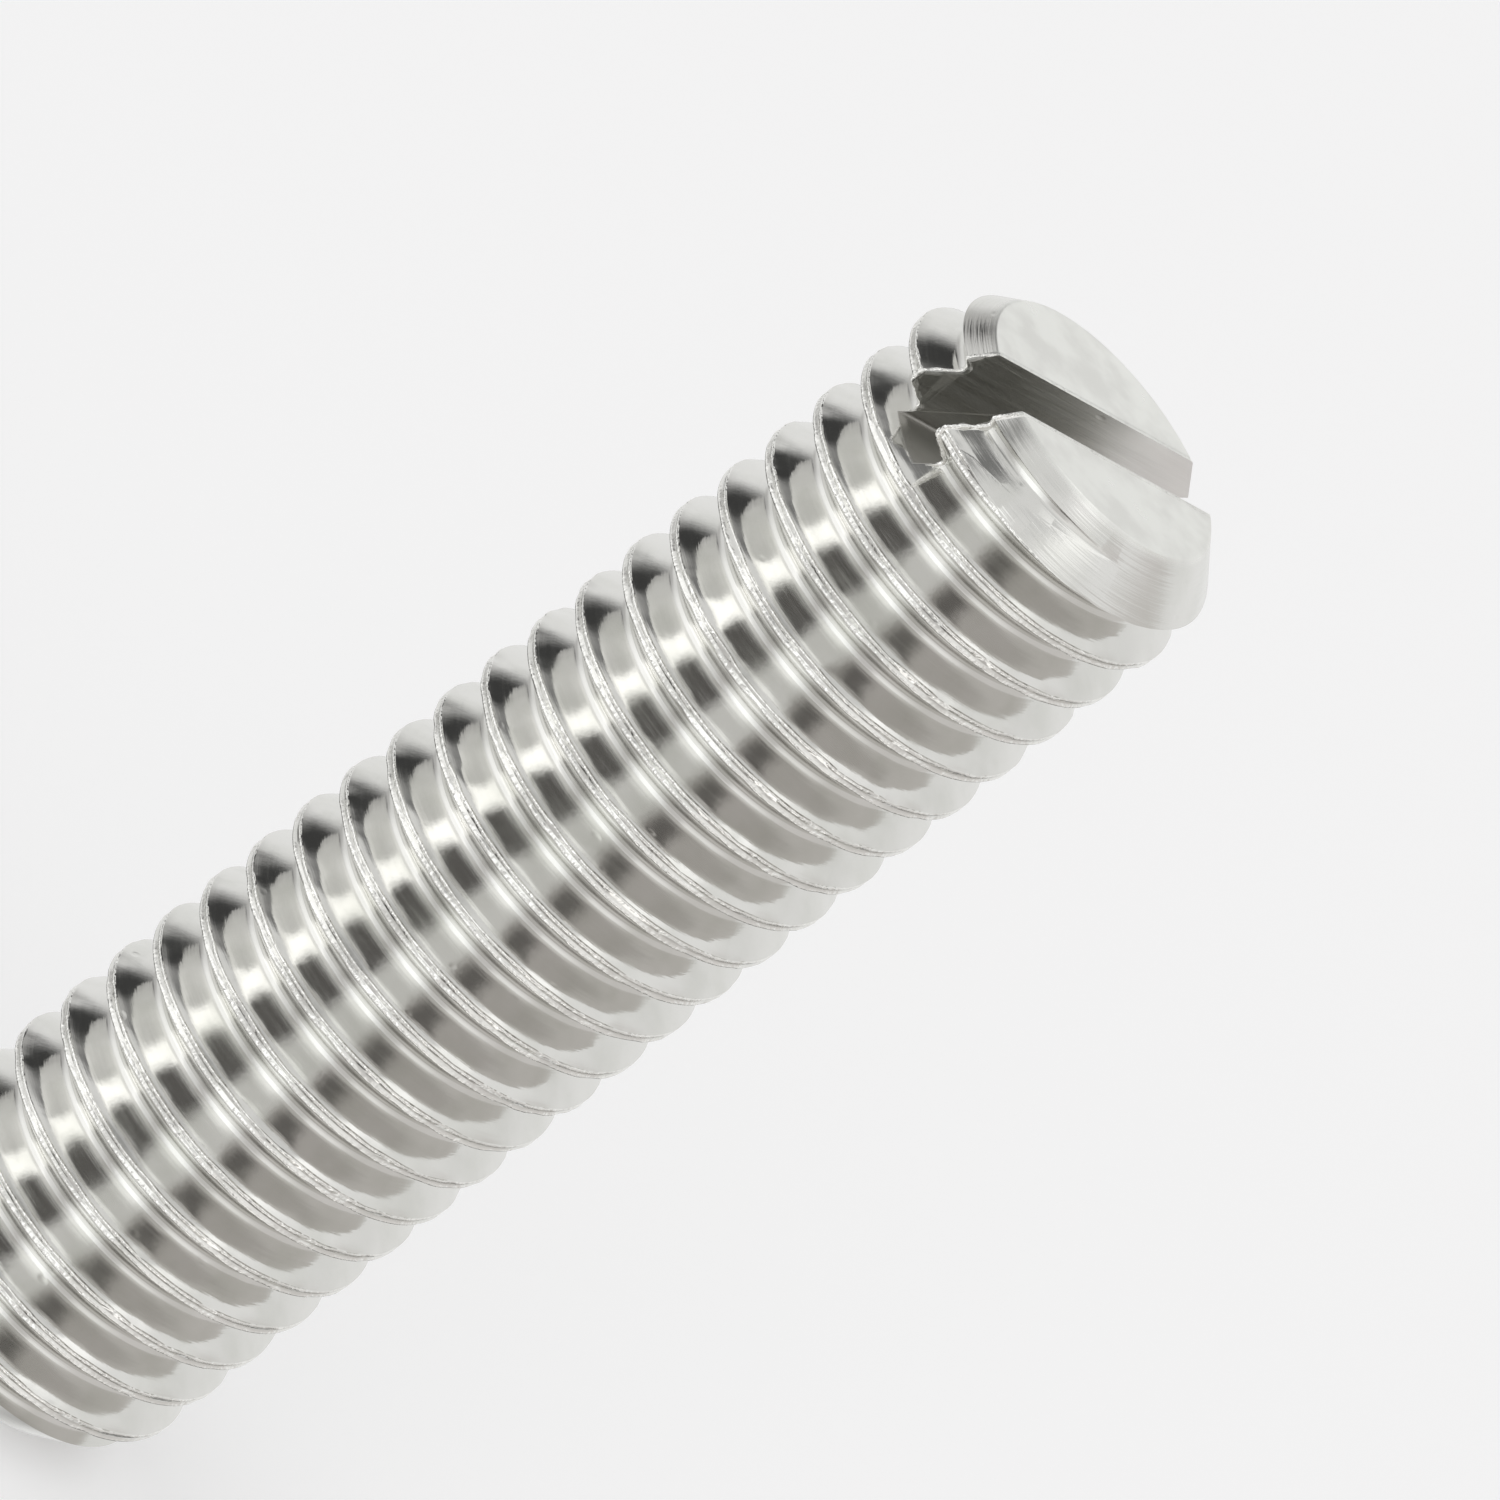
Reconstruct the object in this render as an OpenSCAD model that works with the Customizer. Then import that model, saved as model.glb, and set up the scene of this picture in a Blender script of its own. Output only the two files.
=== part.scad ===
// Slotted set screw with a flat point. It stands on the point, with the slot at the top,
// and the thread's axis is Z.

/* [Screw] */
// Length from the flat point to the slotted face
screw_length = 30; // [16:0.5:40]

/* [Thread] */
// Diameter over the crests as rolled, a little under the nominal 8
thread_d = 7.9; // [6:0.01:12]
// Distance along the axis from one crest to the next
thread_pitch = 1.25; // [1:0.05:2]
// Width of the flat on top of the ridge
crest_flat = 0.19; // [0.05:0.01:0.3]
// Width of the flat at the bottom of the groove
root_flat = 0.18; // [0.1:0.01:0.3]
// Angle between the two flanks of the groove
flank_angle = 60; // [50:1:75]
// Where round the axis a crest crosses the level of the slotted face
thread_phase = 354; // [0:1:359]
// Flat steps in one turn of the helix
steps_per_turn = 36; // [24:4:40]

/* [Flat point] */
// Width of the bevel round the point, measured on the radius
point_bevel = 1.2; // [0.5:0.01:1.6]
// Slope of that bevel, measured from the flat point
point_bevel_angle = 45; // [30:1:60]

/* [Slotted end] */
// Width of the bevel round the slotted face, measured on the radius
head_bevel = 0.93; // [0.2:0.01:1.4]
// Slope of that bevel, measured from the slotted face
head_bevel_angle = 45; // [20:1:60]
// Width of the driver slot, wall to wall
slot_width = 1.38; // [0.8:0.02:2.4]
// Depth of the driver slot below the slotted face
slot_depth = 2.15; // [1:0.05:4]

/* [Hidden] */
crest_r = thread_d / 2;
groove_depth = (thread_pitch - crest_flat - root_flat) / 2 / tan(flank_angle / 2);
root_r = crest_r - groove_depth;
point_r = crest_r - point_bevel;
head_r = crest_r - head_bevel;

// The blank stays this far outside the crests, so that only its bevels cut the thread
blank_clearance = 0.5;
// Cuts run on past the faces that they open by this much
overcut = 1;
$fn = 96;

// The ridge and groove over one pitch, as [radius, height] corners that climb the axis
ridge = [
    [crest_r, -crest_flat / 2],
    [crest_r, crest_flat / 2],
    [root_r, crest_flat / 2 + groove_depth * tan(flank_angle / 2)],
    [root_r, thread_pitch - crest_flat / 2 - groove_depth * tan(flank_angle / 2)]
];

// A right-hand helix climbs by one pitch in each turn, counter-clockwise seen from above
function on_helix(corner, step) =
    let (turn = step / steps_per_turn, angle = thread_phase + 360 * turn)
    [corner[0] * cos(angle), corner[0] * sin(angle), corner[1] + thread_pitch * turn];

// One closed solid: every ridge corner is carried up the helix, and each turn's groove
// meets the start of the next turn. A fan to a point on the axis closes each end.
module thread() {
    corners = len(ridge);
    turns_below = 2;
    turns = ceil(screw_length / thread_pitch) + 2 * turns_below;
    last = turns * steps_per_turn;
    bottom = screw_length - thread_pitch * (turns - turns_below);
    rows = [for (step = [0:last]) each [for (corner = ridge) on_helix(corner, step)]];
    below = len(rows);
    above = below + 1;
    // The groove's upper edge is the next turn's first corner, so the last turn ends
    // where its groove would begin again
    side = [
        for (step = [0:last - 1], c = [0:corners - 1])
            let (
                next = c < corners - 1 ? [c + 1, 0] : [0, steps_per_turn],
                a = step * corners + c,
                b = (step + next[1]) * corners + next[0]
            )
            if (step + 1 + next[1] <= last)
                each [[a, a + corners, b + corners], [a, b + corners, b]]
    ];
    start_ring = [for (step = [0:steps_per_turn]) step * corners];
    start_step = [for (c = [corners - 1:-1:1]) c];
    end_ring = [for (step = [last - steps_per_turn:last]) step * corners + corners - 1];
    end_step = [for (c = [corners - 2:-1:0]) last * corners + c];
    start_loop = concat(start_ring, start_step);
    end_loop = concat(end_ring, end_step);
    caps = concat(
        [for (i = [0:len(start_loop) - 1])
            [start_loop[(i + 1) % len(start_loop)], start_loop[i], below]],
        [for (i = [0:len(end_loop) - 1])
            [end_loop[i], end_loop[(i + 1) % len(end_loop)], above]]
    );
    low = [0, 0, -thread_pitch];
    high = [0, 0, thread_pitch * (turns + 1)];
    translate([0, 0, bottom])
        polyhedron(points = concat(rows, [low, high]), faces = concat(side, caps));
}

// The bevelled blank that the thread is cut on, wider than the crests between its bevels
module blank() {
    blank_r = crest_r + blank_clearance;
    point_rise = (blank_r - point_r) * tan(point_bevel_angle);
    head_drop = (blank_r - head_r) * tan(head_bevel_angle);
    rotate_extrude()
        polygon([
            [0, 0],
            [point_r, 0],
            [blank_r, point_rise],
            [blank_r, screw_length - head_drop],
            [head_r, screw_length],
            [0, screw_length]
        ]);
}

// The slot runs right across the end, along X
module driver_slot() {
    translate([-thread_d, -slot_width / 2, screw_length - slot_depth])
        cube([2 * thread_d, slot_width, slot_depth + overcut]);
}

module set_screw() {
    color([0.72, 0.71, 0.68])
        difference() {
            intersection() {
                blank();
                thread();
            }
            driver_slot();
        }
}

set_screw();
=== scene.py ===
import math
from types import SimpleNamespace

import bpy
import numpy as np
from mathutils import Matrix, Vector


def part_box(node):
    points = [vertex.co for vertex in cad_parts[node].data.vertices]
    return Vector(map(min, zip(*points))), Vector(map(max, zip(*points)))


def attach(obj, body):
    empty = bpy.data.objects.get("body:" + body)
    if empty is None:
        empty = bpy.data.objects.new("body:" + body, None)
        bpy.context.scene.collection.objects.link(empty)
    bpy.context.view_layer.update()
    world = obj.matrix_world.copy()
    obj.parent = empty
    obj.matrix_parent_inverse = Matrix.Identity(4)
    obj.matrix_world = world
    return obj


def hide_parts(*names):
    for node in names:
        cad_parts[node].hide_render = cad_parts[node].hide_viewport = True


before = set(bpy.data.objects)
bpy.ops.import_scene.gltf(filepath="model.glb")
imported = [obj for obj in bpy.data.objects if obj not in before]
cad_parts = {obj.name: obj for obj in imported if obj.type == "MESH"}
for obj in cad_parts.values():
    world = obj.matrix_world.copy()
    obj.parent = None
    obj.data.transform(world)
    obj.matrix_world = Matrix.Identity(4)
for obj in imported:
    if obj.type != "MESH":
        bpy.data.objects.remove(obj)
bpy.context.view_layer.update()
screwLow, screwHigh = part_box("set_screw")
print("frame loaded")

mm = 0.001

# What a user would change on the threaded shank, in metres and degrees
shank = {
    "length": screwHigh.z - screwLow.z,
    "crestRadius": (screwHigh.x - screwLow.x) / 2,
    "pitch": 1.25 * mm,
    "crestFlat": 0.19 * mm,
    "crestDip": 0.05 * mm,     # the shallow seam that rolling leaves along the crest
    "rootFlat": 0.18 * mm,
    "flankAngle": 60,
    "crestRound": 0.05 * mm,   # radius of the edges along the crest
    "rootRound": 0.17 * mm,    # radius where the flanks meet the root
    "phase": 354,              # where a crest crosses the level of the slotted face
    "spareTurns": 2,           # made beyond each end and trimmed away
    "stepsPerTurn": 160,
    "stepsPerLip": 3,
    "stepsPerRoot": 4,
    "stepsPerFlank": 3,
    "lipWander": 0.018 * mm,   # how far the crest's edges stray from a perfect helix
    "wanderStep": 3,           # steps between one stray and the next
    "seed": 11,
}

# The bevelled outline that trims both ends of the thread
ends = {
    "pointBevel": 1.2 * mm,
    "pointSlope": 45,
    "headBevel": 0.95 * mm,
    "headSlope": 46,
    "headShift": (-0.06 * mm, -0.17 * mm),  # the head's bevel was turned a little off the axis
    "edgeRound": 0.1 * mm,
    "edgeSteps": 4,
    "clearance": 0.5 * mm,     # how far it stays outside the crests between its bevels
    "stepsAround": 192,
    "crispAngle": 32,          # edges that turn by more than this are shaded sharp
}

# The sawn driver slot, which runs along X
slot = {
    "width": 1.38 * mm,
    "depth": 2.15 * mm,
    "floorRound": 0.08 * mm,
    "floorSteps": 4,
    "overcut": 1 * mm,
}

# The fine burr that the saw raised along the slot's mouth, where it left the metal
burr = {
    "radius": 0.06 * mm,
    "outside": 0.7,            # share of the radius that its middle lies outside the slot
    "uneven": 0.4,             # share of the radius that comes and goes
    "unevenStep": 4,           # points between one swelling and the next
    "fadePoints": 6,           # points over which it rises from each end
    "fadeLeast": 0.15,         # its share of the radius at the very ends
    "sides": 8,
    "pointsPerPitch": 48,
    "bevelPoints": 8,
    "seed": 5,
}


# A mesh from an array of points and one or more arrays of equal-sided faces
def meshFrom(name, points, faces):
    mesh = bpy.data.meshes.new(name)
    counts = np.concatenate([np.full(len(f), f.shape[1]) for f in faces])
    corners = np.concatenate([f.ravel() for f in faces]).astype(np.int32)
    mesh.vertices.add(len(points))
    mesh.vertices.foreach_set("co", np.ascontiguousarray(points, dtype=np.float32).ravel())
    mesh.loops.add(len(corners))
    mesh.loops.foreach_set("vertex_index", corners)
    mesh.polygons.add(len(counts))
    starts = np.concatenate([[0], np.cumsum(counts)[:-1]]).astype(np.int32)
    mesh.polygons.foreach_set("loop_start", starts)
    mesh.update(calc_edges=True)
    mesh.validate()
    obj = bpy.data.objects.new(name, mesh)
    bpy.context.scene.collection.objects.link(obj)
    return obj


# Points on the arc of that radius that touches both lines of a corner. The centre lies at
# radius / sin(half the corner's angle) from the corner, on the line that halves it
def roundedCorner(before, corner, after, radius, steps):
    toBefore = (before - corner) / np.linalg.norm(before - corner)
    toAfter = (after - corner) / np.linalg.norm(after - corner)
    half = math.acos(np.clip(toBefore @ toAfter, -1, 1)) / 2
    reach = radius / math.tan(half)
    middle = (toBefore + toAfter) / np.linalg.norm(toBefore + toAfter)
    centre = corner + middle * radius / math.sin(half)
    first = corner + toBefore * reach - centre
    last = corner + toAfter * reach - centre
    t = np.linspace(0, 1, steps + 1)[:, None]
    sweep = math.pi - 2 * half
    return centre + (first * np.sin((1 - t) * sweep) + last * np.sin(t * sweep)) / math.sin(sweep)


# Smooth noise between -1 and 1: random heights at even knots, joined by half cosines
def wander(count, spacing, seed):
    random = np.random.default_rng(seed)
    knots = random.uniform(-1, 1, count // spacing + 3)
    place = np.arange(count) / spacing
    low = place.astype(int)
    blend = (1 - np.cos(np.pi * (place - low))) / 2
    return knots[low] * (1 - blend) + knots[low + 1] * blend


# (axial offset, radius) over one pitch: crest, flank, root, flank, with rounded corners. The
# groove's depth is what the flats leave of half the pitch, over the tangent of the flank's slope
def ridgeProfile():
    pitch = shank["pitch"]
    slope = math.tan(math.radians(shank["flankAngle"] / 2))
    depth = (pitch - shank["crestFlat"] - shank["rootFlat"]) / 2 / slope
    crest, root = shank["crestRadius"], shank["crestRadius"] - depth
    seam = crest - shank["crestDip"]
    halfCrest = shank["crestFlat"] / 2
    rootStart = halfCrest + depth * slope
    rootEnd = pitch - rootStart
    corners = np.array([
        [0, seam], [halfCrest, crest], [rootStart, root],
        [rootEnd, root], [pitch - halfCrest, crest], [pitch, seam]
    ])
    lip = (shank["crestRound"], shank["stepsPerLip"])
    bend = (shank["rootRound"], shank["stepsPerRoot"])
    arcs = [
        roundedCorner(*corners[k:k + 3], radius, steps)
        for k, (radius, steps) in enumerate([lip, bend, bend, lip])
    ]
    inside = np.linspace(0, 1, shank["stepsPerFlank"] + 1)[1:-1, None]
    upFlank = arcs[0][-1] + (arcs[1][0] - arcs[0][-1]) * inside
    downFlank = arcs[2][-1] + (arcs[3][0] - arcs[2][-1]) * inside
    return np.concatenate([corners[:1], arcs[0], upFlank, arcs[1], arcs[2], downFlank, arcs[3]])


# The ridge profile carried up a right-hand helix: angle = phase + turn, height = offset +
# pitch * turn. Each turn's last corner meets the next turn's first, and a fan to a point on
# the axis closes both ends
def threadBody():
    profile = ridgeProfile()
    perTurn = shank["stepsPerTurn"]
    lip = shank["stepsPerLip"] + 1
    turns = math.ceil(shank["length"] / shank["pitch"]) + 2 * shank["spareTurns"]
    bottom = shank["length"] - shank["pitch"] * (turns - shank["spareTurns"])
    count = turns * perTurn + 1
    turn = (np.arange(count) / perTurn)[:, None]
    angle = np.radians(shank["phase"]) + 2 * np.pi * turn
    offset = np.tile(profile[:, 0], (count, 1))
    radius = np.tile(profile[:, 1], (count, 1))
    # The two edges of the crest stray up and down by themselves, and dip where they stray
    for edge, seed in ((slice(1, lip + 1), shank["seed"]), (slice(-lip, None), shank["seed"] + 1)):
        stray = wander(count, shank["wanderStep"], seed)[:, None] * shank["lipWander"]
        offset[:, edge] += stray
        radius[:, edge] -= np.abs(stray)
    height = offset + shank["pitch"] * turn + bottom
    grid = np.stack([radius * np.cos(angle), radius * np.sin(angle), height], -1)
    index = np.arange(grid.shape[0] * grid.shape[1]).reshape(grid.shape[:2])
    wrapped = np.concatenate([index[:-perTurn], index[perTurn:, :1]], axis=1)
    quads = np.stack([wrapped[:-1, :-1], wrapped[1:, :-1], wrapped[1:, 1:], wrapped[:-1, 1:]], -1)
    last = index[-perTurn - 1:]
    tail = np.stack([last[:-1, :-1], last[1:, :-1], last[1:, 1:], last[:-1, 1:]], -1)
    startLoop = np.concatenate([index[:perTurn + 1, 0], index[0, :0:-1]])
    endLoop = np.concatenate([index[-perTurn - 1:, -1], index[-1, -2::-1]])
    low = np.array([[0, 0, grid[0, 0, 2] - shank["pitch"]]])
    high = np.array([[0, 0, grid[-1, -1, 2] + shank["pitch"]]])
    below, above = index.size, index.size + 1
    startFan = np.stack([np.roll(startLoop, -1), startLoop, np.full(len(startLoop), below)], -1)
    endFan = np.stack([endLoop, np.roll(endLoop, -1), np.full(len(endLoop), above)], -1)
    points = np.concatenate([grid.reshape(-1, 3), low, high])
    faces = [quads.reshape(-1, 4), tail.reshape(-1, 4), startFan, endFan]
    return meshFrom("threadBody", points, faces)


# A closed outline of (radius, height) that starts and ends on the axis, turned about Z:
# x = radius * cos(angle), y = radius * sin(angle)
def turned(name, outline, around):
    angle = np.arange(around) * 2 * np.pi / around
    ring = outline[1:-1]
    grid = np.stack([
        ring[:, None, 0] * np.cos(angle), ring[:, None, 0] * np.sin(angle),
        ring[:, None, 1] + 0 * angle[None, :]
    ], -1)
    index = np.arange(len(ring) * around).reshape(len(ring), around)
    right = np.roll(index, -1, axis=1)
    quads = np.stack([index[:-1], right[:-1], right[1:], index[1:]], -1).reshape(-1, 4)
    bottom, top = index.size, index.size + 1
    floorFan = np.stack([right[0], index[0], np.full(around, bottom)], -1)
    roofFan = np.stack([index[-1], right[-1], np.full(around, top)], -1)
    poles = np.array([[0, 0, outline[0][1]], [0, 0, outline[-1][1]]])
    points = np.concatenate([grid.reshape(-1, 3), poles])
    return meshFrom(name, points, [quads, floorFan, roofFan])


# The outline of the blank, turned about the axis: flat point, bevel, clear side, bevel,
# slotted face. Its upper half is then moved sideways by the head's shift
def bevelledBlank():
    top = shank["length"]
    outer = shank["crestRadius"] + ends["clearance"]
    pointRadius = shank["crestRadius"] - ends["pointBevel"]
    headRadius = shank["crestRadius"] - ends["headBevel"]
    pointRise = (outer - pointRadius) * math.tan(math.radians(ends["pointSlope"]))
    headDrop = (outer - headRadius) * math.tan(math.radians(ends["headSlope"]))
    corners = np.array([
        [0, 0], [pointRadius, 0], [outer, pointRise],
        [outer, top - headDrop], [headRadius, top], [0, top]
    ])
    pointEdge = roundedCorner(*corners[0:3], ends["edgeRound"], ends["edgeSteps"])
    headEdge = roundedCorner(*corners[3:6], ends["edgeRound"], ends["edgeSteps"])
    outline = np.concatenate([corners[:1], pointEdge, corners[2:4], headEdge, corners[5:]])
    blank = turned("bevelledBlank", outline, ends["stepsAround"])
    spots = np.empty(len(blank.data.vertices) * 3, dtype=np.float32)
    blank.data.vertices.foreach_get("co", spots)
    spots = spots.reshape(-1, 3)
    spots[spots[:, 2] > top / 2, :2] += np.float32(ends["headShift"])
    blank.data.vertices.foreach_set("co", spots.ravel())
    return blank


# The slot's section, a box with rounded lower corners, carried along X
def slotCutter():
    half = slot["width"] / 2
    floor = shank["length"] - slot["depth"]
    roof = shank["length"] + slot["overcut"]
    corners = np.array([[half, roof], [half, floor], [-half, floor], [-half, roof]])
    right = roundedCorner(*corners[0:3], slot["floorRound"], slot["floorSteps"])
    left = roundedCorner(*corners[1:4], slot["floorRound"], slot["floorSteps"])
    section = np.concatenate([corners[:1], right, left, corners[3:]])
    reach = 2 * shank["crestRadius"]
    count = len(section)
    near = np.column_stack([np.full(count, -reach), section])
    far = np.column_stack([np.full(count, reach), section])
    index = np.arange(count)
    after = np.roll(index, -1)
    sides = np.stack([index + count, after + count, after, index], -1)
    nearCap, farCap = index[None, :], (index + count)[None, ::-1]
    return meshFrom("slotCutter", np.concatenate([near, far]), [sides, nearCap, farCap])


# Where a slot wall at y = side * half width meets the thread: angle = asin(y / radius), height =
# the ridge's height at that angle, from the slot's floor up and then along the head's bevel
def mouthPath(side):
    top, pitch = shank["length"], shank["pitch"]
    floor = top - slot["depth"]
    wall = side * (slot["width"] / 2 + burr["outside"] * burr["radius"])
    profile = ridgeProfile()
    steps = np.linspace(0, 1, burr["pointsPerPitch"], endpoint=False)
    turn = np.arange(-math.ceil(slot["depth"] / pitch) - 1, 2)[:, None]
    radius = np.tile(np.interp(steps * pitch, profile[:, 0], profile[:, 1]), len(turn))
    lead = (np.arcsin(wall / radius) - math.radians(shank["phase"])) / (2 * np.pi)
    height = top + pitch * ((turn + steps).ravel() + lead)
    out = np.sqrt(radius ** 2 - wall ** 2)

    # The path leaves the ridge where the bevel's cone passes below it
    headRadius = shank["crestRadius"] - ends["headBevel"]
    slope = math.tan(math.radians(ends["headSlope"]))
    shiftX, shiftY = ends["headShift"]
    bevelHeight = top - (np.hypot(out - shiftX, wall - shiftY) - headRadius) * slope
    last = np.argmax(height > bevelHeight)
    keep = (np.arange(len(height)) < last) & (height > floor + slot["floorRound"])
    faceEdge = shiftX + math.sqrt(headRadius ** 2 - (wall - shiftY) ** 2)
    lip = np.linspace(out[keep][-1], faceEdge, burr["bevelPoints"])[1:]
    lipHeight = top - (np.hypot(lip - shiftX, wall - shiftY) - headRadius) * slope
    out, height = np.concatenate([out[keep], lip]), np.concatenate([height[keep], lipHeight])
    return np.column_stack([out, np.full(len(out), wall), height])


# A round section carried along the mouth path, its radius swelling and fading:
# point = path + (cos(angle) * across + sin(angle) * Y) * radius
def burrBead(side):
    path = mouthPath(side)
    count, sides = len(path), burr["sides"]
    ahead = np.gradient(path, axis=0)
    ahead /= np.linalg.norm(ahead, axis=1)[:, None]
    across = np.cross(ahead, [0, 1, 0])
    swell = 1 + burr["uneven"] * wander(count, burr["unevenStep"], burr["seed"] + side)
    fromEnd = np.minimum(np.arange(count), np.arange(count)[::-1])
    fade = np.clip(fromEnd / burr["fadePoints"], burr["fadeLeast"], 1)
    size = burr["radius"] * swell * fade
    path[:, 2] = np.minimum(path[:, 2], shank["length"] - size)
    angle = np.arange(sides) * 2 * np.pi / sides
    ring = across[:, None, :] * np.cos(angle)[None, :, None]
    ring = ring + np.array([0, 1, 0]) * np.sin(angle)[None, :, None]
    points = path[:, None, :] + ring * size[:, None, None]
    index = np.arange(count * sides).reshape(count, sides)
    right = np.roll(index, -1, axis=1)
    quads = np.stack([index[:-1], index[1:], right[1:], right[:-1]], -1).reshape(-1, 4)
    caps = np.stack([index[0], index[-1][::-1]])
    return meshFrom("burrBead", points.reshape(-1, 3), [quads, caps])


# The base joined with or trimmed by each tool in turn, with the tools removed
def combined(base, tools):
    for tool, operation in tools:
        cut = base.modifiers.new(operation.lower(), "BOOLEAN")
        cut.operation = operation
        cut.solver = "MANIFOLD"
        cut.object = tool
    bpy.context.view_layer.update()
    evaluated = base.evaluated_get(bpy.context.evaluated_depsgraph_get())
    mesh = bpy.data.meshes.new_from_object(evaluated)
    base.modifiers.clear()
    base.data = mesh
    for tool, _ in tools:
        bpy.data.objects.remove(tool)
    return base


# The thread within the bevelled blank, less the slot, with the burr along both sides of it
def setScrew():
    body = combined(threadBody(), [
        (bevelledBlank(), "INTERSECT"), (slotCutter(), "DIFFERENCE"),
        (burrBead(1), "UNION"), (burrBead(-1), "UNION")
    ])
    body.name = "set_screw_body"
    body.data.name = "set_screw_body"
    body.data.shade_smooth()
    body.data.set_sharp_from_angle(angle=math.radians(ends["crispAngle"]))
    return body


# The colours of bright rolled steel and of its finishes, with painted shade and painted light in
# the slot and a painted highlight on the lips
steelColours = {
    "clean": (0.78, 0.775, 0.755),
    "shade": (0.72, 0.72, 0.69),
    # Pale, as a painted highlight on the burnished crest edges and the slot's mouth
    "lips": (0.97, 0.965, 0.94),
    "face": (0.885, 0.89, 0.86),
    "faceShade": (0.83, 0.83, 0.805),
    "slotPaintedShade": (0.52, 0.52, 0.495),   # painted shade at one end of the slot
    "slotPaintedLight": (0.95, 0.94, 0.925),  # painted light at its other end, paler than the steel
    # Painted shade, darker at the slot's floor
    "slotFloorPaintedShade": (0.42, 0.41, 0.385),
}

# How rough each finish is
steelRoughness = {
    "polish": 0.08,            # the clean flanks
    "worn": 0.2,               # where handling has dulled them
    "bevel": 0.12,
    "face": 0.36,
    "slot": 0.38,
    "lips": 0.28,              # the burnished edges along the crests
    "uneven": 0.25,            # the share by which a finish's roughness goes up and down
}

# The marks in the steel. How close they lie is in each metre, and a depth is from their lowest
# point to their highest
steelMarks = {
    "rollStreaks": 26,         # fine lines across one pitch, along the rolling direction
    "streaksAlong": 0.35 / mm,  # their changes along x and y, and along z
    "streaksUp": 0.7 / mm,
    "streakDepth": 0.0025 * mm,
    "clouds": 0.9 / mm,        # broad blots of wear
    "specks": 9 / mm,          # grain
    "speckDepth": 0.0008 * mm,
    "beadSize": 0.12 * mm,     # beads along the crest's burnished edges
    "beadDepth": 0.05 * mm,
    "turnedLines": 14,         # lines across the turned bevel
    "turnedBreaks": 1.2,       # how often they break on their way round
    "turnedDepth": 0.012 * mm,
    "faceDepth": 0.004 * mm,
    "sawAlong": 0.4 / mm,      # saw marks: slow along the slot, quick down its walls
    "sawAcross": 1 / mm,
    "sawDown": 7 / mm,
    "sawDepth": 0.01 * mm,
    "nickLength": 1.4 * mm,    # room for one nick, along the thread and across it
    "nickHeight": 0.6 * mm,
    "nickDepth": 0.008 * mm,
    "nickRim": (0.12, 0.02),   # a nick's outer and inner edge, as shares of its room
    "nickRare": (0.6, 0.62),   # the share of the rooms that stay without one
}

# Where each finish begins and where it is whole, measured from the edge of its own surface
finishEdges = {
    "face": (-0.14 * mm, -0.01 * mm),      # up from the slotted face
    "bevel": (-0.03 * mm, -0.01 * mm),     # up from the bevel's cone
    "wall": (0.01 * mm, 0.002 * mm),       # out from the slot's wall
    "floor": (-0.03 * mm, -0.01 * mm),     # up from the slot's floor
    "crest": (-0.055 * mm, -0.015 * mm),   # out from the axis, past the crests
    "mouthInner": (0.004 * mm, 0.012 * mm),  # out from the slot's wall, the burnished mouth, which takes the lips' painted highlight
    "mouthOuter": (0.12 * mm, 0.08 * mm),
    "mouthLow": (0.15 * mm, 0.3 * mm),     # up from the slot's floor
    "slotFloorPaintedShade": (0.3 * mm, 0.05 * mm),    # down to the slot's floor, where the painted shade is darker still
    "slotPaintedLight": (0.3 * mm, -2.3 * mm),    # along the slot, from its painted shade to its painted light
}

# The levels of a pattern, from 0 to 1, between which each kind of wear sets in
wearLevels = {
    "cloudDull": (0.42, 0.68),
    "streakDull": (0.45, 0.75),
    "cloudShare": 0.55,        # the share of the dullness that clouds give, the rest by streaks
    "tint": (0.35, 0.7),
    "tintShare": 0.8,
    "faceMottle": (0.4, 0.62),
    "uneven": (0.3, 0.7),
}


# A shader node with its settings, and its inputs given as values or as other nodes' outputs
def node(tree, kind, inputs=None, **settings):
    made = tree.nodes.new("ShaderNode" + kind)
    for key, value in settings.items():
        setattr(made, key, value)
    for key, value in (inputs or {}).items():
        if isinstance(value, bpy.types.NodeSocket):
            tree.links.new(value, made.inputs[key])
        else:
            made.inputs[key].default_value = value
    return made


# One step of arithmetic on values or on other nodes' outputs
def maths(tree, operation, *values):
    return node(tree, "Math", dict(enumerate(values)), operation=operation).outputs[0]


# The square root of a * a + b * b
def hypotenuse(tree, a, b):
    squares = maths(tree, "MULTIPLY_ADD", a, a, maths(tree, "MULTIPLY", b, b))
    return maths(tree, "SQRT", squares)


# The value's place between low and high, eased at both, as a number from start to end
def ramp(tree, value, low, high, start=0.0, end=1.0):
    made = node(tree, "MapRange", {
        "Value": value, "From Min": low, "From Max": high, "To Min": start, "To Max": end
    }, interpolation_type="SMOOTHSTEP")
    return made.outputs["Result"]


# How far a value is past an edge, from 0 where the named finish begins to 1 where it is whole
def past(tree, value, edge, finish):
    begins, whole = finishEdges[finish]
    return ramp(tree, value, edge + begins, edge + whole)


# The first number where the mask is 0, the second where it is 1
def mixed(tree, mask, first, second):
    return node(tree, "Mix", {0: mask, 2: first, 3: second}, data_type="FLOAT").outputs[0]


# The same for two colours, each an (r, g, b) or another node's output
def mixedColour(tree, mask, first, second, label=""):
    first, second = [
        colour if isinstance(colour, bpy.types.NodeSocket) else (*colour, 1)
        for colour in (first, second)
    ]
    inputs = {0: mask, 6: first, 7: second}
    return node(tree, "Mix", inputs, data_type="RGBA", label=label).outputs[2]


# Noise between 0 and 1
def noise(tree, vector, scale=1.0, detail=3, roughness=0.6):
    inputs = {"Vector": vector, "Scale": scale, "Detail": detail, "Roughness": roughness}
    return node(tree, "TexNoise", inputs).outputs[0]


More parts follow.
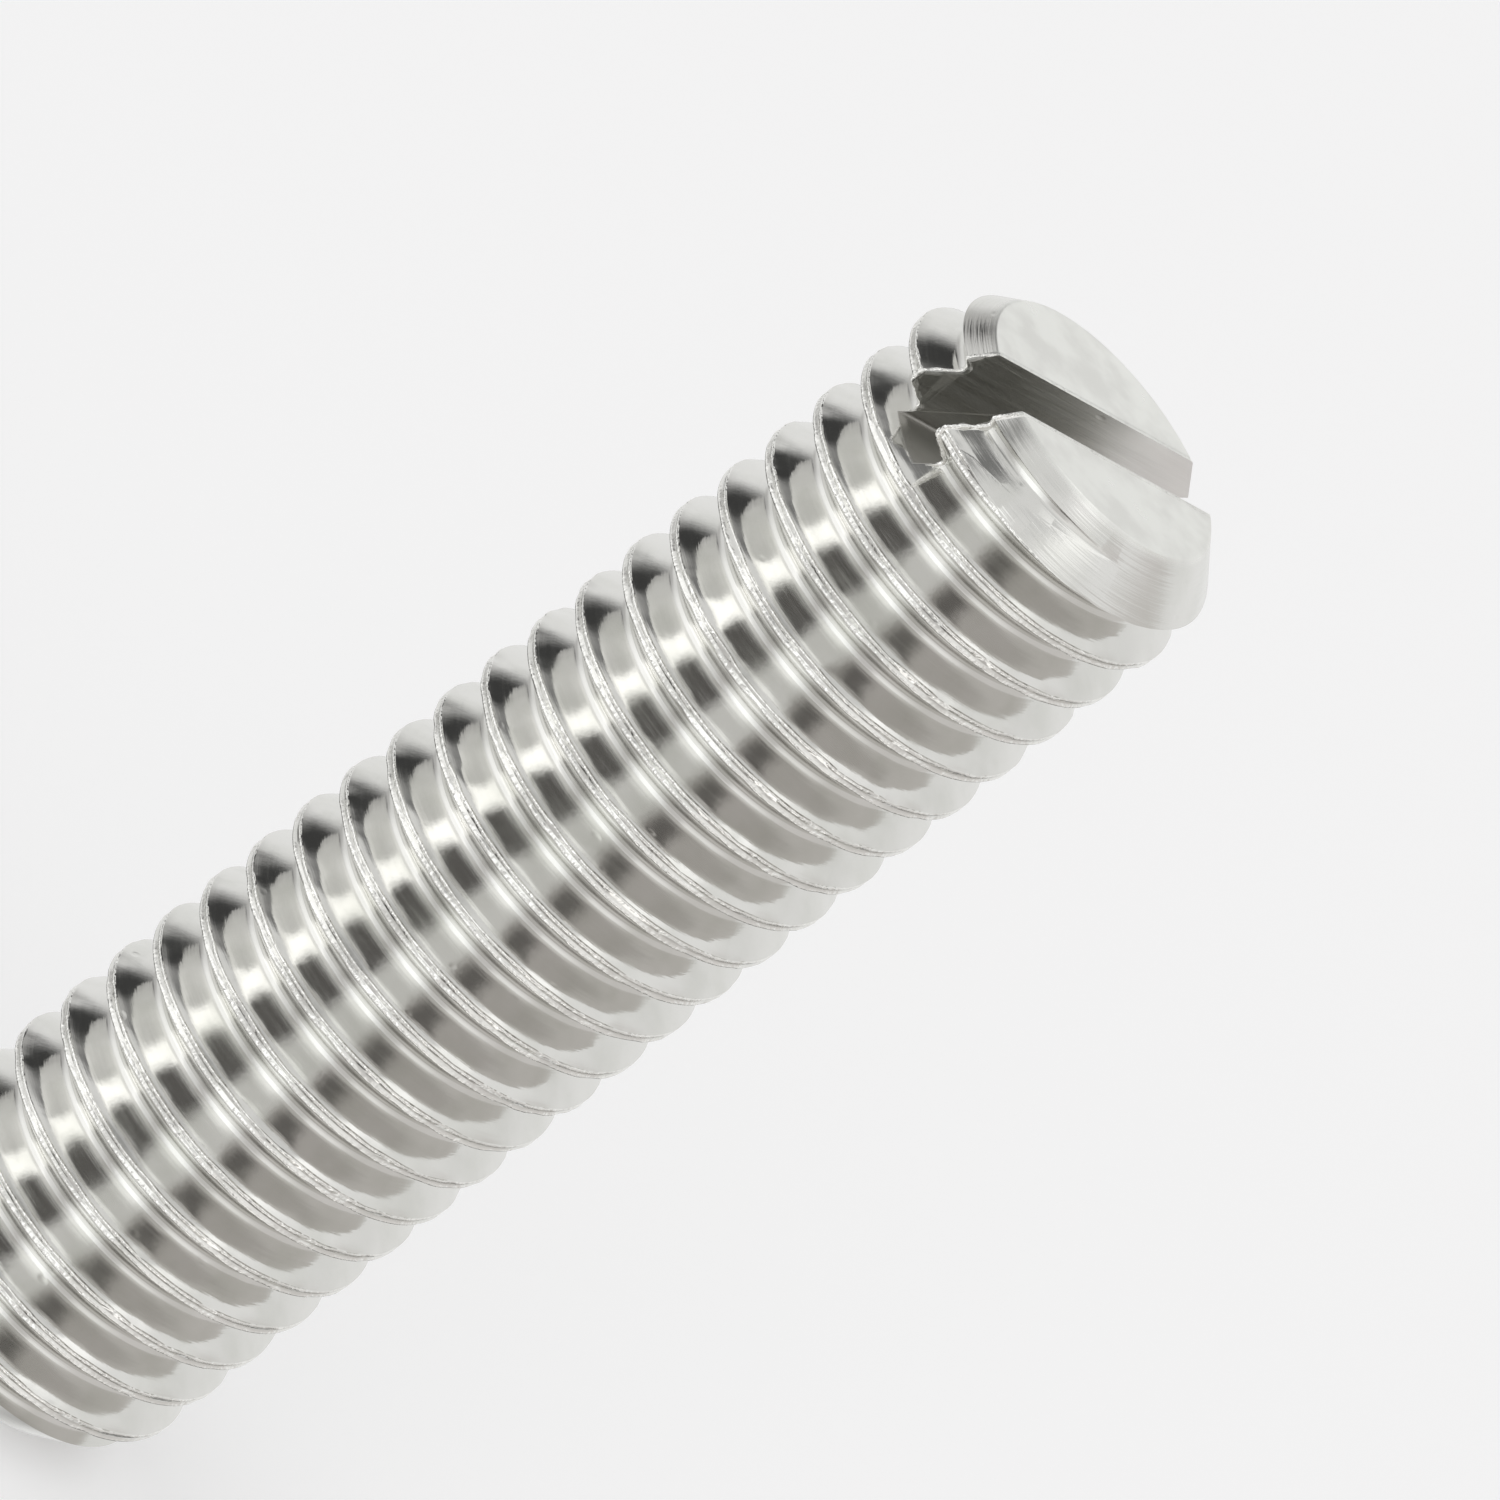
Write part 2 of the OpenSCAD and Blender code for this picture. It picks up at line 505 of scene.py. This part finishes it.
# A place on the screw: its x, y and z, its distance from the axis and its turn about it, and
# its distance from the middle of the head's bevel
def screwPlace(tree):
    place = node(tree, "TexCoord").outputs["Object"]
    x, y, z = node(tree, "SeparateXYZ", {0: place}).outputs
    radius = hypotenuse(tree, x, y)
    shiftX, shiftY = ends["headShift"]
    offX, offY = maths(tree, "SUBTRACT", x, shiftX), maths(tree, "SUBTRACT", y, shiftY)
    return SimpleNamespace(
        place=place, x=x, y=y, z=z, radius=radius, headOut=hypotenuse(tree, offX, offY),
        cosTurn=maths(tree, "DIVIDE", x, radius), sinTurn=maths(tree, "DIVIDE", y, radius)
    )


# Streaks that follow the thread: noise read slowly along x, y and z and quickly across the ridge.
# The place across it is the angle 360 degrees * z / pitch less the turn about the axis, read
# through its cosine and sine, so it closes at every turn
def rollingStreaks(tree, at):
    rise = maths(tree, "MULTIPLY", at.z, 2 * math.pi / shank["pitch"])
    cosRise, sinRise = maths(tree, "COSINE", rise), maths(tree, "SINE", rise)
    cosAcross = maths(tree, "MULTIPLY_ADD", cosRise, at.cosTurn,
                      maths(tree, "MULTIPLY", sinRise, at.sinTurn))
    sinAcross = maths(tree, "SUBTRACT", maths(tree, "MULTIPLY", sinRise, at.cosTurn),
                      maths(tree, "MULTIPLY", cosRise, at.sinTurn))
    quick = steelMarks["rollStreaks"] / (2 * math.pi)
    slow = steelMarks["streaksAlong"]
    vector = node(tree, "CombineXYZ", {
        0: maths(tree, "MULTIPLY", at.x, slow),
        1: maths(tree, "MULTIPLY", at.y, slow),
        2: maths(tree, "MULTIPLY", cosAcross, quick)
    }).outputs[0]
    upward = maths(tree, "MULTIPLY", at.z, steelMarks["streaksUp"])
    fourth = maths(tree, "MULTIPLY_ADD", sinAcross, quick, upward)
    inputs = {"Vector": vector, "W": fourth, "Scale": 1, "Detail": 3, "Roughness": 0.65}
    return node(tree, "TexNoise", inputs, noise_dimensions="4D").outputs[0]


# Masks that tell the slotted face, its bevel, the slot's walls and the burnished lips apart by
# their place. The lips also carry a painted highlight, and the slot's masks lay painted shade and
# light along it and painted shade at its floor. The bevel's cone is where z + distance out * slope
# is the same everywhere
def finishMasks(tree, at):
    top, floor = shank["length"], shank["length"] - slot["depth"]
    slope = math.tan(math.radians(ends["headSlope"]))
    headRadius = shank["crestRadius"] - ends["headBevel"]
    onCone = maths(tree, "MULTIPLY_ADD", at.headOut, slope, at.z)
    aside = maths(tree, "SUBTRACT", maths(tree, "ABSOLUTE", at.y), slot["width"] / 2)
    wall = maths(tree, "MULTIPLY", past(tree, aside, 0, "wall"), past(tree, at.z, floor, "floor"))
    strip = maths(tree, "MULTIPLY", past(tree, aside, 0, "mouthOuter"),
                  past(tree, aside, 0, "mouthInner"))
    mouth = maths(tree, "MULTIPLY", strip, past(tree, at.z, floor, "mouthLow"))
    crests = past(tree, at.radius, shank["crestRadius"], "crest")
    return SimpleNamespace(
        face=past(tree, at.z, top, "face"),
        bevel=past(tree, onCone, top + headRadius * slope, "bevel"),
        wall=wall,
        lips=maths(tree, "MAXIMUM", crests, mouth),
        slotFloorPaintedShade=past(tree, at.z, floor, "slotFloorPaintedShade"),
        slotPaintedLight=past(tree, at.x, 0, "slotPaintedLight")
    )


# The patterns that the finishes are mixed from, each between 0 and 1
def finishPatterns(tree, at):
    sawScale = (steelMarks["sawAlong"], steelMarks["sawAcross"], steelMarks["sawDown"])
    sawPlace = node(tree, "Mapping", {"Vector": at.place, "Scale": sawScale}).outputs[0]
    lineScale = steelMarks["turnedLines"] / ends["headBevel"]
    turnedPlace = node(tree, "CombineXYZ", {
        0: at.cosTurn, 1: at.sinTurn, 2: maths(tree, "MULTIPLY", at.headOut, lineScale)
    }).outputs[0]

    # Sparse nicks, one in each chosen cell, longer along the thread than across it
    length, height = steelMarks["nickLength"], steelMarks["nickHeight"]
    nickScale = (1 / length, 1 / length, 1 / height)
    nickPlace = node(tree, "Mapping", {"Vector": at.place, "Scale": nickScale}).outputs[0]
    cells = node(tree, "TexVoronoi", {"Vector": nickPlace, "Scale": 1, "Randomness": 1})
    draw = node(tree, "SeparateXYZ", {0: cells.outputs["Color"]}).outputs[0]
    nicks = maths(tree, "MULTIPLY", ramp(tree, cells.outputs["Distance"], *steelMarks["nickRim"]),
                  ramp(tree, draw, *steelMarks["nickRare"]))
    return SimpleNamespace(
        streaks=rollingStreaks(tree, at),
        clouds=noise(tree, at.place, steelMarks["clouds"], roughness=0.55),
        specks=noise(tree, at.place, steelMarks["specks"], detail=1),
        beads=noise(tree, at.place, 1 / steelMarks["beadSize"], detail=1, roughness=0.5),
        saw=noise(tree, sawPlace),
        turned=noise(tree, turnedPlace, steelMarks["turnedBreaks"]),
        nicks=nicks
    )


# Polished flanks that clouds and streaks of wear dull, and each finish's own roughness over them
def steelRough(tree, masks, patterns):
    share = wearLevels["cloudShare"]
    streakWear = maths(tree, "MULTIPLY", ramp(tree, patterns.streaks, *wearLevels["streakDull"]),
                       1 - share)
    wear = maths(tree, "MULTIPLY_ADD", ramp(tree, patterns.clouds, *wearLevels["cloudDull"]),
                 share, streakWear)
    polish = steelRoughness["polish"]
    rough = maths(tree, "MULTIPLY_ADD", wear, steelRoughness["worn"] - polish, polish)
    for mask, pattern, finish in (
        (masks.lips, patterns.beads, "lips"), (masks.bevel, patterns.turned, "bevel"),
        (masks.face, patterns.clouds, "face"), (masks.wall, patterns.saw, "slot")
    ):
        least = steelRoughness[finish] * (1 - steelRoughness["uneven"])
        most = steelRoughness[finish] * (1 + steelRoughness["uneven"])
        uneven = ramp(tree, pattern, *wearLevels["uneven"], least, most)
        rough = mixed(tree, mask, rough, uneven)
    return rough


# The clean colour clouded with shade, and each finish's own colour over it. The slot's walls are
# painted shade at one end and painted light at the other, with more painted shade at the floor,
# and the lips' pale colour is a painted highlight
def steelTint(tree, masks, patterns):
    clouded = maths(tree, "MULTIPLY", ramp(tree, patterns.clouds, *wearLevels["tint"]),
                    wearLevels["tintShare"])
    tint = mixedColour(tree, clouded, steelColours["clean"], steelColours["shade"])
    mottle = ramp(tree, patterns.clouds, *wearLevels["faceMottle"])
    face = mixedColour(tree, mottle, steelColours["face"], steelColours["faceShade"])
    # Painted shade along the slot's walls, with painted light at one end and darker painted shade
    # at the floor
    slotWallPaintedShade = mixedColour(tree, masks.slotPaintedLight, steelColours["slotPaintedShade"], steelColours["slotPaintedLight"])
    slotWallPaintedShade = mixedColour(tree, masks.slotFloorPaintedShade, slotWallPaintedShade, steelColours["slotFloorPaintedShade"])
    # The lips get a pale painted highlight
    for mask, colour in (
        (masks.lips, steelColours["lips"]), (masks.face, face), (masks.wall, slotWallPaintedShade)
    ):
        tint = mixedColour(tree, mask, tint, colour)
    return tint


# Height in metres: each kind of mark times its depth, with the nicks taken off
def steelHeight(tree, masks, patterns):
    height = maths(tree, "MULTIPLY", patterns.streaks, steelMarks["streakDepth"])
    for mask, pattern, depth in (
        (masks.bevel, patterns.turned, "turnedDepth"), (masks.face, patterns.clouds, "faceDepth")
    ):
        height = mixed(tree, mask, height, maths(tree, "MULTIPLY", pattern, steelMarks[depth]))
    height = maths(tree, "MULTIPLY_ADD", patterns.specks, steelMarks["speckDepth"], height)
    scored = maths(tree, "MULTIPLY", patterns.saw, steelMarks["sawDepth"])
    height = mixed(tree, masks.wall, height, scored)
    beaded = maths(tree, "MULTIPLY", patterns.beads, masks.lips)
    height = maths(tree, "MULTIPLY_ADD", beaded, steelMarks["beadDepth"], height)
    return maths(tree, "MULTIPLY_ADD", patterns.nicks, -steelMarks["nickDepth"], height)


# The steel: metal all through, with its colour, roughness and relief read from the place on it
def stainlessSteel():
    material = bpy.data.materials.new("stainlessSteel")
    material.use_nodes = True
    tree = material.node_tree
    at = screwPlace(tree)
    masks, patterns = finishMasks(tree, at), finishPatterns(tree, at)
    relief = {"Strength": 1, "Distance": 1, "Height": steelHeight(tree, masks, patterns)}
    shader = tree.nodes["Principled BSDF"]
    shader.inputs["Metallic"].default_value = 1
    tree.links.new(steelTint(tree, masks, patterns), shader.inputs["Base Color"])
    tree.links.new(steelRough(tree, masks, patterns), shader.inputs["Roughness"])
    tree.links.new(node(tree, "Bump", relief).outputs[0], shader.inputs["Normal"])
    return material


# Where the camera stands, from the photograph's own measures
view = {
    "turn": 40.9,              # from the slot's line to the viewer, about the screw's axis
    "tilt": 67.2,              # between the screw's axis and the line of sight
    "roll": 38.1,              # how far the axis leans in the picture
    "pixelsPerMm": 52.75,
    "distance": 420 * mm,
    "faceAlong": 601,          # the slotted face, in pixels along the axis in the 1500 frame
    "axisAcross": 1024,        # the axis, in pixels across it
    "frameSize": 1500,
    "sensor": 36,
    "clip": (0.1, 10),
}


# Unit vectors: toward the viewer, along the axis as the picture shows it, and across it
def viewAxes():
    turn, tilt = math.radians(view["turn"]), math.radians(view["tilt"])
    axis = Vector((0, 0, 1))
    near = Vector((math.cos(turn), math.sin(turn), 0))
    across = Vector((-math.sin(turn), math.cos(turn), 0))
    toward = axis * math.cos(tilt) + near * math.sin(tilt)
    along = axis * math.sin(tilt) - near * math.cos(tilt)
    return toward, along, across


# The camera looks at the slotted face from the view's distance, moved sideways until the face and
# the axis fall on their pixels, with the lens that gives the view's pixels per millimetre there
def placeCamera():
    toward, along, across = viewAxes()
    c, s = math.cos(math.radians(view["roll"])), math.sin(math.radians(view["roll"]))
    right = along * c + across * s
    up = along * s - across * c
    centre = view["frameSize"] / 2
    perPixel = mm / view["pixelsPerMm"]
    offAlong = (centre * (c - s) - view["faceAlong"]) * perPixel
    offAcross = (centre * (c + s) - view["axisAcross"]) * perPixel
    face = Vector((0, 0, shank["length"]))
    spot = face + along * offAlong + across * offAcross + toward * view["distance"]
    data = bpy.data.cameras.new("camera")
    data.sensor_width = view["sensor"]
    data.lens = view["sensor"] / 2 * view["distance"] / (centre * perPixel)
    data.clip_start, data.clip_end = view["clip"]
    camera = bpy.data.objects.new("camera", data)
    facing = Matrix((right, up, toward)).transposed().to_4x4()
    camera.matrix_world = Matrix.Translation(spot) @ facing
    bpy.context.scene.collection.objects.link(camera)
    bpy.context.scene.camera = camera


# The studio: a pale room with soft panels and darker gaps between them. Each is (turn from the
# viewer, half its turn, lowest, highest, softness, brightness, warmth), with angles in degrees
studio = {
    "room": (0.8, 0.8, 0.79),
    "blue": 0.99,              # the panels' blue against their green, before any warmth
    "panels": [
        ("farWall", 176, 44, -16, 26, 28, 0.88, 0),
        ("rightWall", 72, 58, -16, 45, 12, 0.65, 0.03),
        ("rightLow", 62, 50, -44, -14, 10, 0.52, 0.04),
        ("rightTop", 110, 58, 63, 82, 26, 1.3, 0),
        ("rightHigh", 115, 30, 40, 60, 20, 0.88, 0),
        ("leftWing", -92, 16, -12, 26, 24, 1.1, 0),
        ("leftCeiling", -136, 15, 2, 60, 18, 0.52, 0.01),
        ("leftHigh", -131, 11, 40, 77, 12, 0.2, 0),
        ("leftDark", -147, 16, 20, 39, 12, 0.05, 0),
        ("overhead", -68, 21, 38, 70, 28, 0.1, 0),
        ("topRight", 45, 47, 74, 92, 6, 0.72, 0),
        ("leftPanel", -68, 11, -34, 30, 8, 1.9, 0),
        ("leftGap", -70, 18, -12, 56, 24, 1.22, 0),
        ("frontGap", -31, 5, -18, 34, 12, 0.58, 0.02),
        ("frontPanel", -8, 12, -25, 50, 16, 1.34, -0.01),
        ("rightGap", 40, 22, 0, 56, 34, 0.94, 0.01),
        ("midGap", 20, 8, -20, 34, 10, 0.62, 0.02),
        ("backLowLeft", -150, 20, -52, -28, 14, 0.2, 0.03),
        ("backLowRight", 146, 20, -52, -28, 14, 0.2, 0.03),
        ("lowLeft", -41, 20, -42, -23, 14, 0.13, 0.04),
        ("lowRight", 26, 10, -50, -21, 14, 0.16, 0.05),
        ("lowFront", -30, 55, -80, -50, 12, 0.58, 0.02),
        ("lowSide", 75, 25, -75, -48, 12, 1.3, 0.02),
    ],
}


# Each panel is a soft-edged window in turn and height above the horizon, laid over the room.
# The turn is atan2(y, x) less the viewer's, and the height asin(z)
def studioLight():
    world = bpy.data.worlds.new("studio")
    bpy.context.scene.world = world
    world.use_nodes = True
    tree = world.node_tree
    direction = node(tree, "Mapping", {
        "Vector": node(tree, "TexCoord").outputs["Generated"],
        "Rotation": (0, 0, -math.radians(view["turn"]))
    }).outputs[0]
    x, y, z = node(tree, "SeparateXYZ", {0: direction}).outputs
    toDegrees = 180 / math.pi
    turn = maths(tree, "MULTIPLY", maths(tree, "ARCTAN2", y, x), toDegrees)
    height = maths(tree, "MULTIPLY", maths(tree, "ARCSINE", z), toDegrees)
    colour = studio["room"]
    for name, centre, half, low, high, soft, bright, warm in studio["panels"]:
        away = maths(tree, "WRAP", maths(tree, "SUBTRACT", turn, centre), 180, -180)
        away = maths(tree, "ABSOLUTE", away)
        raised = maths(tree, "ABSOLUTE", maths(tree, "SUBTRACT", height, (low + high) / 2))
        reach = (high - low) / 2
        window = maths(tree, "MULTIPLY", ramp(tree, away, half + soft / 2, half - soft / 2),
                       ramp(tree, raised, reach + soft / 2, reach - soft / 2))
        panel = (bright * (1 + warm), bright, bright * (studio["blue"] - warm / 2))
        colour = mixedColour(tree, window, colour, panel, name)
    tree.links.new(colour, tree.nodes["Background"].inputs["Color"])


# The floor that the point rests on
ground = {
    "size": 1.2,
    "colour": (0.86, 0.86, 0.873),
    "lift": 0.197,             # what the camera sees above the lit colour, for a pale backdrop
}


# A square about the origin, lit as a matt surface plus a level that only the camera sees
def paleFloor():
    corners = np.array([[-1, -1, 0], [1, -1, 0], [1, 1, 0], [-1, 1, 0]]) * ground["size"] / 2
    floor = meshFrom("floor", corners, [np.array([[0, 1, 2, 3]])])
    material = bpy.data.materials.new("paleFloor")
    material.use_nodes = True
    tree = material.node_tree
    tree.nodes.clear()
    rays = node(tree, "LightPath").outputs
    through = maths(tree, "MAXIMUM", rays["Is Glossy Ray"], rays["Is Transmission Ray"])
    seen = maths(tree, "MAXIMUM", rays["Is Camera Ray"], through)
    matt = node(tree, "BsdfDiffuse", {"Color": (*ground["colour"], 1)})
    glow = node(tree, "Emission", {
        "Color": (1, 1, 1, 1), "Strength": maths(tree, "MULTIPLY", seen, ground["lift"])
    })
    both = node(tree, "AddShader", {0: matt.outputs[0], 1: glow.outputs[0]})
    node(tree, "OutputMaterial", {"Surface": both.outputs[0]})
    floor.data.materials.append(material)
    floor.visible_glossy = False


placeCamera()
studioLight()
paleFloor()
print("studio ready")

screw = setScrew()
screw.data.materials.clear()
screw.data.materials.append(stainlessSteel())
print("thread cut:", len(screw.data.vertices), "points", len(screw.data.polygons), "faces")
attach(screw, "root")
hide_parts("set_screw")

bpy.context.scene.view_settings.view_transform = "Standard"
